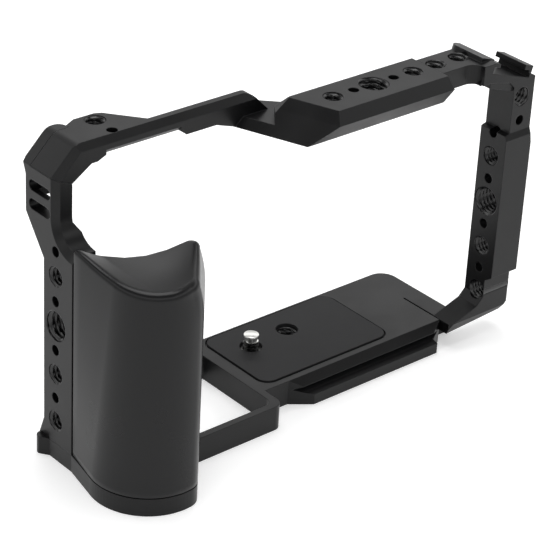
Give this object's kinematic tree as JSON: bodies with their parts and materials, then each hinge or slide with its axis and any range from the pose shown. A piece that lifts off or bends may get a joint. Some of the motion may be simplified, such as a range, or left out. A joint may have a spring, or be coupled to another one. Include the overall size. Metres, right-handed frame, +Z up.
{
  "type": "camera cage",
  "caption": "Milled cage round a camera with a side arm, moulded hand grip, base pad, captive camera screw with folding ring, rows of accessory threads and a sloping cold shoe",
  "frame": {"origin": "centre of the bounding box's bottom face; the base's underside lies on Z = 0", "axes": "+X across the camera from the grip to the column, +Y towards the camera's back, +Z up"},
  "size_m": [0.1674, 0.0603, 0.1009],
  "materials": {
    "black_metal": "fine bead-blasted, black anodised, satin",
    "grip_shell": "smooth moulded shell with a soft satin coat",
    "pad_rubber": "flat smooth silicone rubber sheet",
    "steel": "turned stainless steel",
    "black_steel": "blackened steel screws"
  },
  "bodies": {
    "frame": {"base_plate": "black_metal", "right_column": "black_metal", "top_rail": "black_metal", "side_arm": "black_metal", "grip_body": "grip_shell", "base_pad": "pad_rubber", "arm_top_screws": "black_steel", "arm_foot_screws": "black_steel", "grip_screws": "black_steel"},
    "clip": {"retaining_ring": "steel"},
    "screw": {"camera_screw": "steel"},
    "bail": {"screw_ring": "steel"}
  },
  "joints": [
    {"name": "screw_drop", "type": "slide", "parent": "frame", "child": "clip", "axis": [0, 0, -1], "range_m": [0, 0.002]},
    {"name": "screw_turn", "type": "hinge", "parent": "clip", "child": "screw", "pos_m": [-0.002, 0.01775, 0], "axis": [0, 0, 1], "continuous": true},
    {"name": "ring_fold", "type": "hinge", "parent": "screw", "child": "bail", "pos_m": [-0.002, 0.01775, 0.0018], "axis": [-1, 0, 0], "range_deg": [0, 180]}
  ]
}
